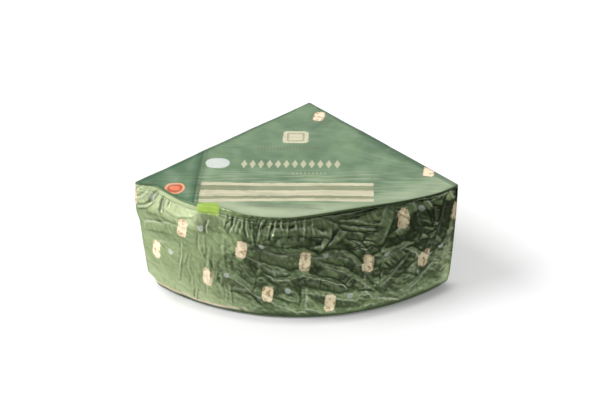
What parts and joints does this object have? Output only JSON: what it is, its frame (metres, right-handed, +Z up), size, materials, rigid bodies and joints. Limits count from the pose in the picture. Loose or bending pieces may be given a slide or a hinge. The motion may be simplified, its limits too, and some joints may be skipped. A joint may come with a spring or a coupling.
{
  "type": "foil-wrapped gorgonzola wedge",
  "caption": "Wedge of soft blue cheese, a sector of half a wheel's height, wrapped shut in printed green foil, with a flat top, a curved crumpled rind side and two straight cut sides.",
  "frame": {"origin": "middle of the pack's bounding box, on the surface that it rests on", "axes": "+X along the width of the rind side, to the right as seen from it; +Y from the rind side to the apex where the cuts meet; +Z up"},
  "size_m": [0.2184, 0.1607, 0.0785],
  "materials": {
    "printed_foil": "thin aluminium foil with a satin green print lacquer, crumpled on the rind side"
  },
  "bodies": {
    "root": {"wrapped_wedge": "printed_foil"}
  },
  "joints": []
}
